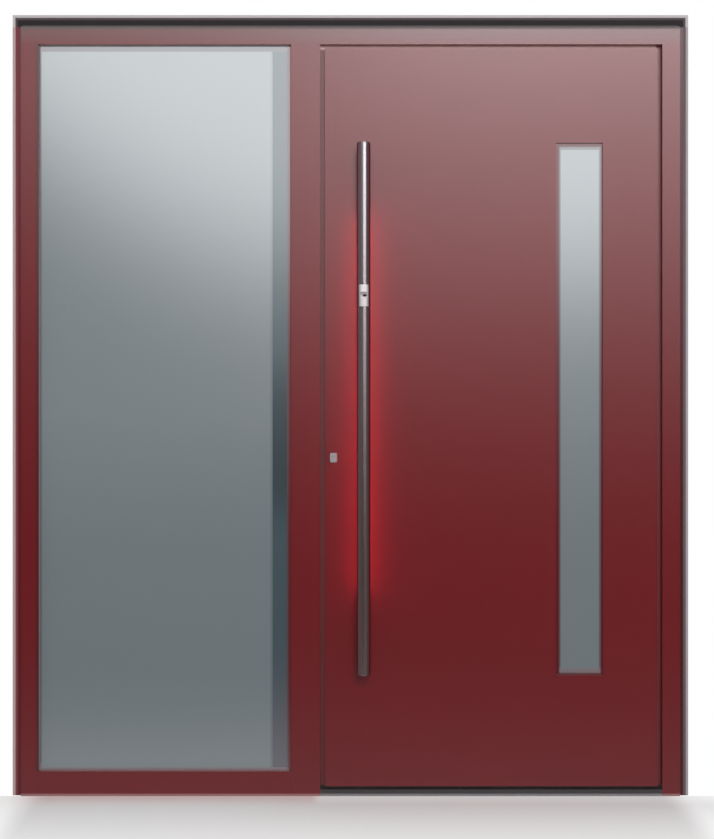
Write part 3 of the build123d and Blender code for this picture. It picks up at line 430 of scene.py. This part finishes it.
clear_glass = Finish("clear_float_glass")
edge_depth = clear_glass.grain(0.4, detail=1.0)
clear_glass.surface({
    "Base Color": clear_glass.blend(edge_depth, tone(120, 140, 138), tone(132, 150, 148)),
    "Roughness": 0.03,
    "Alpha": 0.10 + 0.02 * edge_depth,
    "Normal": clear_glass.relief(edge_depth, 0.0003),
    "IOR": 1.52,
})
dress(clear_glass, "sidelight_middle_pane", "sidelight_inner_pane")

spacer = Finish("warm_edge_spacer")
ribbing = spacer.grain(0.003, detail=2.0)
spacer.surface({
    "Base Color": spacer.blend(ribbing, tone(104, 94, 98), tone(122, 112, 116)),
    "Roughness": 0.55,
    "Normal": spacer.relief(ribbing, 0.00008),
})
dress(spacer, "sidelight_spacers", "window_spacer")

# The side light's rubber is grey, set paler as painted light where it lies in shade.
GREY_RUBBER = (122, 116, 120), (136, 130, 134)
BLACK_RUBBER = (24, 23, 24), (38, 37, 38)
RED_SHADE, SHADE_REACH, SHADE_FADE = tone(70, 22, 26), 0.008, 0.004


def gasket_rubber(name, dark, light, shaded_from=None):
    """EPDM rubber with a faint bloom, and a painted red shade where it lies in the mullion's shade."""
    rubber = Finish(name)
    bloom = rubber.grain(0.006, detail=3.0)
    colour = rubber.blend(bloom, tone(*dark), tone(*light))
    if shaded_from is not None:
        # Painted red shade towards the mullion.
        colour = rubber.blend(rubber.rise(rubber.x, shaded_from, shaded_from + SHADE_FADE), colour, RED_SHADE)
    rubber.surface({
        "Base Color": colour,
        "Roughness": 0.62 + 0.12 * bloom,
        "Normal": rubber.relief(rubber.grain(0.0010), 0.00005),
    })
    return rubber


dress(gasket_rubber("grey_rubber", *GREY_RUBBER, light_high.x - SHADE_REACH), "sidelight_gaskets")
dress(gasket_rubber("black_rubber", *BLACK_RUBBER), "window_gaskets", "door_rebate_seal")

bead_coat = powder_coat("powder_coat_beads", strip=False)
dress(bead_coat, "sidelight_beads")

block_plastic = Finish("setting_block_plastic")
moulding = block_plastic.grain(0.002)
block_plastic.surface({
    "Base Color": block_plastic.blend(moulding, tone(30, 34, 44), tone(44, 48, 58)),
    "Roughness": 0.45 + 0.1 * moulding,
    "Normal": block_plastic.relief(moulding, 0.00005),
})
dress(block_plastic, "sidelight_setting_blocks")


# Leaf: two aluminium sheets bonded on stiles, rails and a foam core, all powder-coated after assembly. The
# edges show the polyamide strip, and the rebated edge carries the lock.

leaf_coat = powder_coat("powder_coat_leaf")
dress(leaf_coat, "leaf_stile_lock", "leaf_stile_hinge", "leaf_rail_top", "leaf_rail_bottom")
dress(leaf_coat, "leaf_outer_skin", "leaf_inner_skin", "window_lining")

foam = Finish("foam_core")
cells = foam.grain(0.0015, detail=3.0)
foam.surface({
    "Base Color": foam.blend(cells, tone(206, 198, 168), tone(226, 220, 196)),
    "Roughness": 0.9,
    "Normal": foam.relief(cells, 0.0003),
})
dress(foam, "leaf_core")


# Slim window: a double unit set in the leaf with the outer sheet nearly flush. The satin field ends short of
# the edge, the spacer is painted all round as a grey border, and a shaded red edge is painted for the recess
# walls.

WINDOW_BITE = Vector((0.014, 0, 0.014))
WINDOW_BORDERS = (0.0145, 0.0113, 0.0200, 0.0200)
WINDOW_EDGES = (0.0145, 0.0100, 0.0095, 0.0150)
# Painted shade of the recess walls along the window's edges.
WINDOW_EDGE_PAINTED_SHADE, WINDOW_EDGE_DULL = tone(96, 37, 41), 0.5
sheet_low, sheet_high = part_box("window_outer_pane")
window_glass = satin_glass(
    "satin_window", sheet_low + WINDOW_BITE, sheet_high - WINDOW_BITE, WINDOW_BORDERS, WINDOW_EDGES,
    WINDOW_EDGE_PAINTED_SHADE, WINDOW_EDGE_DULL,
)
dress(window_glass, "window_outer_pane")
dress(clear_glass, "window_inner_pane")


# Pull bar: stainless tube, 40 mm across, brushed lengthwise, with turned caps and two posts coped to it. A
# light strip let into its back shines on the leaf and is seen as a red glow on both sides.

STEEL = tone(184, 174, 178)
STEEL_DARK = tone(166, 156, 160)
STEEL_LOW_PAINTED_SHADE = tone(160, 140, 138)
PAINTED_SHADE_HEIGHTS = (0.55, 1.75)
DIFFUSER = (0.9, 0.82, 0.78, 1.0)
DIODE_RED, DIODE_RED_BRIGHT = (1.0, 0.22, 0.36, 1.0), (1.0, 0.28, 0.44, 1.0)


def brushed_steel(name, stretch, roughness, painted_shade_heights=None):
    """Fine scratches along the brushing, 0.4 mm apart. Between the two heights given, the tone goes from a
    painted shade below, warmed by a painted floor reflection, to the plain one above."""
    steel = Finish(name)
    scratches = steel.grain(0.0004, stretch=stretch, detail=3.0)
    colour = steel.blend(scratches, STEEL_DARK, STEEL)
    if painted_shade_heights is not None:
        # Painted shade and warm floor reflection towards the bottom.
        colour = steel.blend(steel.rise(steel.z, *painted_shade_heights), STEEL_LOW_PAINTED_SHADE, colour)
    steel.surface({
        "Base Color": colour,
        "Metallic": 1.0,
        "Roughness": roughness + 0.10 * scratches,
        "Normal": steel.relief(scratches, 0.000015, 0.7),
    })
    return steel


bar_steel = brushed_steel("steel_brushed_upright", (1, 1, 250), 0.15, PAINTED_SHADE_HEIGHTS)
dress(bar_steel, "pull_bar")
dress(brushed_steel("steel_caps", (20, 20, 1), 0.15, PAINTED_SHADE_HEIGHTS), "pull_bar_caps")
turned_steel = brushed_steel("steel_turned", (20, 20, 1), 0.15)
dress(turned_steel, "pull_bar_posts")

glow = Finish("light_diffuser")
diodes = glow.grain(0.008, detail=0.0)
glow.surface({
    "Base Color": DIFFUSER,
    "Roughness": 0.5,
    "Emission Color": glow.blend(diodes, DIODE_RED, DIODE_RED_BRIGHT),
    "Emission Strength": 22.0,
})
dress(glow, "pull_bar_light")


# Fingerprint reader: a silver-painted moulded block let into the front of the bar, scooped for the fingertip,
# with a black glassy sensor at the bottom of the scoop. Its coat has painted light on the face above the
# scoop, painted shade in the scoop, and a dark oval round the sensor that is the sensor's black spread by
# painted shade.

SILVER, SILVER_UPPER_PAINTED_LIGHT, SILVER_FLAKE = tone(208, 200, 203), tone(228, 220, 224), tone(236, 230, 233)
SCOOP_SHADE, SENSOR_AND_SHADE_DARK = tone(112, 104, 108), tone(30, 24, 26)
SCOOP_RIM, SCOOP_FLOOR = 0.0008, 0.0045
UPPER_FACE_LOW, UPPER_FACE_HIGH = 0.012, 0.016
SENSOR_SHADE_OVAL = (0.0003, 0.0062, 0.0024, 0.0036)
SCOOP_OVAL = (-0.0030, 0.0115, 0.0085, 0.0050)
OVAL_INSIDE, OVAL_OUTSIDE = 0.75, 1.25

reader_paint = Finish("reader_silver_paint")
flake = reader_paint.grain(0.0006, detail=1.0)
reader_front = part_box("fingerprint_reader")[0].y
sensor_low, sensor_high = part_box("fingerprint_sensor")
from_middle = reader_paint.x - (sensor_low.x + sensor_high.x) / 2


def oval(side, width, level, height):
    """1 in an oval on the reader's face, set off by side and level from the lower edge of the sensor."""
    across, along = (from_middle - side) / width, (reader_paint.z - sensor_low.z - level) / height
    return 1 - reader_paint.rise(across * across + along * along, OVAL_INSIDE, OVAL_OUTSIDE)


# Painted shade: a dark oval round the sensor and a shaded scoop; painted light on the face above it.
window = oval(*SENSOR_SHADE_OVAL)
scoop = reader_paint.rise(reader_paint.y, reader_front + SCOOP_RIM, reader_front + SCOOP_FLOOR)
scoop = scoop.math("MAXIMUM", 0.95 * oval(*SCOOP_OVAL))
upper = reader_paint.rise(reader_paint.z, sensor_low.z + UPPER_FACE_LOW, sensor_low.z + UPPER_FACE_HIGH)
silver = reader_paint.blend(upper, SILVER, SILVER_UPPER_PAINTED_LIGHT)
silver = reader_paint.blend(flake * 0.4, silver, SILVER_FLAKE)
silver = reader_paint.blend(scoop * 0.7, silver, SCOOP_SHADE)
reader_paint.surface({
    "Base Color": reader_paint.blend(window, silver, SENSOR_AND_SHADE_DARK),
    "Metallic": 0.15,
    "Roughness": 0.42 + 0.08 * flake,
    "Normal": reader_paint.relief(flake, 0.00002),
})
dress(reader_paint, "fingerprint_reader")

sensor_glass = Finish("sensor_black_glass")
smudge = sensor_glass.grain(0.003, detail=3.0)
sensor_glass.surface({
    "Base Color": sensor_glass.blend(smudge, tone(14, 14, 16), tone(24, 24, 27)),
    "Roughness": 0.34 + 0.14 * smudge,
    "Normal": sensor_glass.relief(smudge, 0.00001),
    "Specular IOR Level": 0.15,
})
dress(sensor_glass, "fingerprint_sensor")


# Lock: mortise lock with a stainless faceplate, a small rosette outside, a nickel-plated cylinder, and inside
# a long plate with a mitred lever of 20 mm round bar. The strike sits in the mullion.

dress(brushed_steel("steel_faceplate", (1, 1, 120), 0.26), "mortise_lock", "strike_plate")
dress(brushed_steel("steel_rosette", (1, 1, 60), 0.24), "lock_rosette")
dress(brushed_steel("steel_handle_plate", (1, 1, 200), 0.24), "inside_handle_plate")
dress(brushed_steel("steel_lever", (200, 1, 1), 0.22), "inside_handle_lever")

nickel = Finish("nickel_plated_brass")
turning = nickel.grain(0.0005, stretch=(1, 30, 1), detail=2.0)
nickel.surface({
    "Base Color": nickel.blend(turning, tone(192, 182, 180), tone(208, 199, 196)),
    "Metallic": 0.7,
    "Roughness": 0.16 + 0.08 * turning,
    "Normal": nickel.relief(turning, 0.00001),
})
dress(nickel, "lock_cylinder")


# Hinges: three barrel hinges on the inside, coated like the leaf, that turn on stainless pins. Each half is
# held by countersunk hexagon socket screws, and so are the faceplate, the strike and the threshold.

hinge_coat = powder_coat("powder_coat_hinges", strip=False)
dress(hinge_coat, "hinge_frame_halves", "hinge_leaf_halves")
dress(turned_steel, "hinge_pins")

TURNED_SIDES = 24
SOCKET_CORNERS = 6
SCREW_PROFILE = (
    (0.0020, -0.0016, SOCKET_CORNERS), (0.0020, 0.0002, SOCKET_CORNERS),
    (0.0034, 0.0002, 0), (0.0040, 0.0001, 0), (0.0040, -0.0004, 0),
)
HINGE_HALF_HEIGHT = 0.05975
HINGE_PLATE, FRAME_PLATE_STEP = 0.005, 0.003
LEAF_SCREW_COLUMNS, LEAF_SCREW_ROWS = (0.012, 0.033), (-0.040, 0.040)
FRAME_SCREW_INSET = 0.009
FRAME_SCREW_ROWS, FRAME_SCREW_OUTER_ROWS = (-0.010, 0.010), (-0.046, 0.046)
PLATE_SCREW_INSET = 0.010
TREAD_SCREWS, TREAD_SCREW_INSET, TREAD_SCREW_SCALE = 4, 0.10, 0.8


def turned_pieces(name, profile, places, direction, scale=1.0):
    """Joins one turned piece at each place. A point is place + h * direction + r * (cos t * across +
    sin t * up), with the radius r and the height h from the profile; r is a hexagon's where the profile says
    6 corners."""
    axis = Vector(direction)
    across = axis.orthogonal().normalized()
    up = axis.cross(across)
    turn = np.linspace(0, 2 * math.pi, TURNED_SIDES, endpoint=False)
    rings = np.array(profile)
    hexagon = math.cos(math.pi / 6) / np.cos((turn % (math.pi / 3)) - math.pi / 6)
    radius = rings[:, 0, None] * np.where(rings[:, 2, None] == SOCKET_CORNERS, hexagon, 1.0) * scale
    height = rings[:, 1, None] * scale
    ring_points = (
        height[..., None] * np.array(axis)
        + (radius * np.cos(turn))[..., None] * np.array(across)
        + (radius * np.sin(turn))[..., None] * np.array(up)
    ).reshape(-1, 3)
    ends = np.array([rings[0, 1] * scale * np.array(axis), rings[-1, 1] * scale * np.array(axis)])
    shape = np.vstack([ring_points, ends])
    last = (len(rings) - 1) * TURNED_SIDES
    first = np.arange(last)
    beside = first - first % TURNED_SIDES + (first + 1) % TURNED_SIDES
    walls = np.stack([first, first + TURNED_SIDES, beside + TURNED_SIDES, beside], axis=1)
    rim = np.arange(TURNED_SIDES)
    next_rim = (rim + 1) % TURNED_SIDES
    low_middle = np.full(TURNED_SIDES, len(ring_points))
    low_cap = np.stack([rim, next_rim, low_middle], axis=1)
    high_cap = np.stack([last + next_rim, last + rim, low_middle + 1], axis=1)
    points = (np.array(places)[:, None, :] + shape).reshape(-1, 3)
    faces = []
    for number in range(len(places)):
        for part in (walls, low_cap, high_cap):
            faces += (part + number * len(shape)).tolist()
    mesh = bpy.data.meshes.new(name)
    mesh.from_pydata(points.tolist(), [], faces)
    mesh.update()
    piece = bpy.data.objects.new(name, mesh)
    bpy.context.scene.collection.objects.link(piece)
    return piece


screw_steel = brushed_steel("steel_screws", (1, 1, 1), 0.28)
leaf_half_low, leaf_half_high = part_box("hinge_leaf_halves")
frame_screw_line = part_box("hinge_frame_halves")[1].x - FRAME_SCREW_INSET
hinge_middles = [(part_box("hinge_pins")[0].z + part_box("hinge_pins")[1].z) / 2]
hinge_middles += [leaf_half_low.z + HINGE_HALF_HEIGHT, leaf_half_high.z - HINGE_HALF_HEIGHT]
plate_face = FRAME_DEPTH / 2 + HINGE_PLATE
leaf_screws = [
    (leaf_half_low.x + column, plate_face, middle + row)
    for middle in hinge_middles for column in LEAF_SCREW_COLUMNS for row in LEAF_SCREW_ROWS
]
frame_screws = [
    (frame_screw_line, plate_face + step, middle + row)
    for step, rows in ((0.0, FRAME_SCREW_ROWS), (FRAME_PLATE_STEP, FRAME_SCREW_OUTER_ROWS))
    for middle in hinge_middles for row in rows
]

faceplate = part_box("mortise_lock")[0].x
strike_low, strike_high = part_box("strike_plate")
plate_middle = (strike_low.y + strike_high.y) / 2
plate_ends = (strike_low.z + PLATE_SCREW_INSET, strike_high.z - PLATE_SCREW_INSET)
tread_places = np.linspace(tread_low.x + TREAD_SCREW_INSET, tread_high.x - TREAD_SCREW_INSET, TREAD_SCREWS)
tread_screws = [(x, 0.0, tread_high.z) for x in tread_places]

for name, places, direction, body, scale in (
    ("hinge_screws_leaf", leaf_screws, (0, 1, 0), "door", 1.0),
    ("hinge_screws_frame", frame_screws, (0, 1, 0), "frame", 1.0),
    ("faceplate_screws", [(faceplate, plate_middle, z) for z in plate_ends], (-1, 0, 0), "door", 1.0),
    ("strike_screws", [(strike_high.x, plate_middle, z) for z in plate_ends], (1, 0, 0), "frame", 1.0),
    ("threshold_screws", tread_screws, (0, 0, 1), "frame", TREAD_SCREW_SCALE),
):
    screws = turned_pieces(name, SCREW_PROFILE, places, direction, scale)
    screws.data.materials.append(screw_steel.material)
    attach(screws, body)


# Anchor caps: black plastic caps pressed over the frame's anchors in the rebate of the right jamb, where the
# open leaf leaves them in view.

CAP_PROFILE = (
    (0.0060, -0.0004, 0), (0.0060, 0.0006, 0), (0.0052, 0.0012, 0), (0.0030, 0.0016, 0), (0.0010, 0.0017, 0),
)
JAMB_LIP = 0.020
ANCHORS, ANCHOR_END_INSET, ANCHOR_DEPTH = 4, 0.200, 0.057

jamb_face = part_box("frame_jamb_right")[0].x + JAMB_LIP
frame_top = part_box("frame_head")[1].z
anchor_levels = np.linspace(ANCHOR_END_INSET, frame_top - ANCHOR_END_INSET, ANCHORS)
anchor_places = [(jamb_face, ANCHOR_DEPTH - FRAME_DEPTH / 2, z) for z in anchor_levels]
anchor_caps = turned_pieces("anchor_caps", CAP_PROFILE, anchor_places, (-1, 0, 0))
anchor_caps.data.materials.append(block_plastic.material)
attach(anchor_caps, "frame")


# Floor: a pale plain surface in front of the door that keeps the door's soft shadow and runs out to white.
# The red door's reflection is painted on it in pink near the frame, and painted light lies along the sill in
# front of the leaf. Behind the door it is white to the camera, so that the floor ends at the frame.

FLOOR_REACH = 9
FLOOR_PALE, FLOOR_PAINTED_RED_REFLECTION = tone(232, 229, 228), tone(236, 206, 204)
RED_LEFT, RED_RIGHT, RED_SIDE_FADE = -0.97, -0.11, 0.03
RED_NEAR, RED_FAR = 0.06, 0.20
DOOR_MIDDLE, BESIDE_NEAR, BESIDE_FAR = 0.01, 0.90, 1.00
LEAF_FOOT_LEFT, LEAF_FOOT_RIGHT = -0.12, -0.09
LEAF_FOOT_NEAR, LEAF_FOOT_FAR = 0.05, 0.17
WHITE_AT_DOOR, WHITE_A_METRE, WHITE_BESIDE, PAINTED_LIGHT_AT_LEAF = 0.09, 0.85, 0.38, 0.18
WHITE_BEHIND_FROM, WHITE_BEHIND = -0.045, -0.040

floor_mesh = bpy.data.meshes.new("floor")
corners = [(x * FLOOR_REACH, y * FLOOR_REACH, 0) for x, y in ((-1, -1), (1, -1), (1, 1), (-1, 1))]
floor_mesh.from_pydata(corners, [], [(0, 1, 2, 3)])
floor = bpy.data.objects.new("floor", floor_mesh)
bpy.context.scene.collection.objects.link(floor)
floor.visible_glossy = False

pale = Finish("pale_floor")
out_from_door = pale.y * -1.0
beside = pale.rise(abs(pale.x - DOOR_MIDDLE), BESIDE_NEAR, BESIDE_FAR)
# Painted pink reflection of the red frame on the floor near the door.
painted_red_reflection = pale.within(pale.x, RED_LEFT, RED_RIGHT, RED_SIDE_FADE)
painted_red_reflection = painted_red_reflection * (1 - pale.rise(out_from_door, RED_NEAR, RED_FAR))
floor_colour = pale.blend(painted_red_reflection * 0.8, FLOOR_PALE, FLOOR_PAINTED_RED_REFLECTION)
pale_shader = pale.add("ShaderNodeBsdfDiffuse", {}, {"Color": floor_colour})["BSDF"]
white = pale.add("ShaderNodeEmission", {}, {"Color": (1, 1, 1, 1), "Strength": 1.0})["Emission"]
seen = pale.add("ShaderNodeLightPath", {}, {})["Is Camera Ray"]
# Painted light on the floor in front of the leaf's foot.
painted_light_at_leaf_foot = pale.rise(pale.x, LEAF_FOOT_LEFT, LEAF_FOOT_RIGHT)
painted_light_at_leaf_foot = painted_light_at_leaf_foot * (1 - pale.rise(out_from_door, LEAF_FOOT_NEAR, LEAF_FOOT_FAR))
fade = WHITE_AT_DOOR + out_from_door * WHITE_A_METRE + beside * WHITE_BESIDE + PAINTED_LIGHT_AT_LEAF * painted_light_at_leaf_foot
fade = fade.math("MINIMUM", 1.0)
fade = fade.math("MAXIMUM", pale.rise(pale.y, WHITE_BEHIND_FROM, WHITE_BEHIND))
out = pale.add("ShaderNodeMixShader", {}, {"Fac": seen * fade, 1: pale_shader, 2: white})["Shader"]
pale.add("ShaderNodeOutputMaterial", {}, {"Surface": out})
floor_mesh.materials.append(pale.material)


# Light: an even pale surround, a soft lamp at the front right and one in the room behind. Gloss and metal see
# cloud above 5 degrees with a bright band from 12 to 20, haze down to the horizon, a pale ground near the
# door, and dimmer surroundings at the sides with a red tint beside it.

def area_lamp(name, energy, size, place, target):
    """A square lamp that gloss doesn't see, turned to its target."""
    data = bpy.data.lights.new(name, "AREA")
    data.energy = energy
    data.size = size
    lamp = bpy.data.objects.new(name, data)
    lamp.location = place
    lamp.visible_glossy = False
    lamp.rotation_euler = (Vector(target) - lamp.location).to_track_quat("-Z", "Y").to_euler()
    bpy.context.scene.collection.objects.link(lamp)


area_lamp("soft_lamp", 362.0, 2.4, (0.70, -7.5, 3.40), (0.1, 0, 1.1))
area_lamp("room_lamp", 230.0, 2.6, (-1.2, 6.5, 3.4), (0, 0, 1.1))

SURROUND = (0.30, 0.30, 0.30, 1.0)
SKY_COLOUR = (0.97, 0.985, 1.0, 1.0)
SIDE_COLOUR = (1.25, 0.80, 0.86, 1.0)
DEGREES = 57.3
CLOUD_EDGE, CLOUD_BLUR = 4.85, 1.6
EDGE_LIFTS_FROM, EDGE_LIFT, LIFT_WIDTH = 2.55, 0.0264, 18.0
CLOUD, BAND, HAZE, RIDGE, GROUND = 2.25, 6.1, 0.138, 0.03, 0.95
RIDGE_SCALE, RIDGE_HEIGHT = 26.0, 1.6

# Angles in degrees, each as the pair between which something sets in or ends.
THINNER_HIGH_UP = (14.0, 20.0)
BAND_LOW, BAND_HIGH, BAND_LEFT = (12.5, 14.0), (19.5, 23.5), (-4.8, 2.6)
DIMMER_LEFT, DIMMEST_LEFT, END_AT_RIGHT = (12.0, 24.0), (40.0, 58.0), (30.0, 42.0)
RIDGE_EDGE, HAZE_EDGE, GROUND_EDGE = (-0.9, 0.1), (-5.0, 0.4), (7.9, 17.0)
FRONT_END, SIDES_START = (40.0, 60.0), (24.0, 44.0)
LEFT_PALER, BEHIND_PALER, ABOVE_PALER = (50.0, 90.0), (100.0, 140.0), (25.0, 60.0)
TINT_START, TINT_END = (44.0, 64.0), (100.0, 125.0)

world = bpy.data.worlds.new("surround")
bpy.context.scene.world = world
air = ShaderTree(world)
direction = air.add("ShaderNodeTexCoord", {}, {})["Generated"]
heading = air.add("ShaderNodeSeparateXYZ", {}, {"Vector": direction})
up_angle = heading["Z"] * DEGREES
right_angle = heading["X"].math("ARCTAN2", heading["Y"] * -1.0) * DEGREES
left_angle, off_middle = right_angle * -1.0, abs(right_angle)

leftward = (EDGE_LIFTS_FROM - right_angle).math("MAXIMUM", 0.0).math("MINIMUM", LIFT_WIDTH)
cloud_edge = CLOUD_EDGE + EDGE_LIFT * leftward * leftward
cloud = 1.0 / (1.0 + ((cloud_edge - up_angle) / CLOUD_BLUR).math("EXPONENT"))
cloud = cloud * (1 - 0.26 * air.rise(up_angle, *THINNER_HIGH_UP))
band = air.rise(up_angle, *BAND_LOW) * (1 - air.rise(up_angle, *BAND_HIGH))
band = band * air.rise(right_angle, *BAND_LEFT)
dimmer = 0.62 * air.rise(left_angle, *DIMMER_LEFT) + 0.38 * air.rise(left_angle, *DIMMEST_LEFT)
across = (1 - air.rise(right_angle, *END_AT_RIGHT)) * (1 - dimmer)
ridge_noise = air.add(
    "ShaderNodeTexNoise", {}, {"Vector": direction, "Scale": RIDGE_SCALE, "Detail": 2.0}
)["Fac"]
ridge = air.rise(up_angle - RIDGE_HEIGHT * (ridge_noise - 0.5), *RIDGE_EDGE)
haze = HAZE * air.rise(up_angle, *HAZE_EDGE) + RIDGE * ridge
ground = GROUND * air.rise(up_angle * -1.0, *GROUND_EDGE)
front = (CLOUD * cloud + BAND * band) * across + haze + ground
front = front * (1 - air.rise(off_middle, *FRONT_END))
sides = 0.155 + 0.09 * air.rise(left_angle, *LEFT_PALER)
sides = sides + 0.5 * air.rise(off_middle, *BEHIND_PALER)
sides = sides + 0.25 * air.rise(up_angle, *ABOVE_PALER)
sky = front + sides * air.rise(off_middle, *SIDES_START)

beside_door = air.rise(off_middle, *TINT_START) * (1 - air.rise(off_middle, *TINT_END))
sky_tint = air.blend(beside_door, SKY_COLOUR, SIDE_COLOUR)
sky_sockets = {"Vector": sky_tint, "Scale": sky}
sky_colour = air.add("ShaderNodeVectorMath", {"operation": "SCALE"}, sky_sockets)["Vector"]
light_path = air.add("ShaderNodeLightPath", {}, {})
lit = air.blend(light_path["Is Glossy Ray"], SURROUND, sky_colour)
looked_at = light_path["Is Camera Ray"].math("MAXIMUM", light_path["Is Transmission Ray"])
shown = air.blend(looked_at, lit, (1, 1, 1, 1))
background = air.add("ShaderNodeBackground", {}, {"Color": shown, "Strength": 1.0})["Background"]
air.add("ShaderNodeOutputWorld", {}, {"Surface": background})
bpy.context.scene.view_settings.view_transform = "Standard"
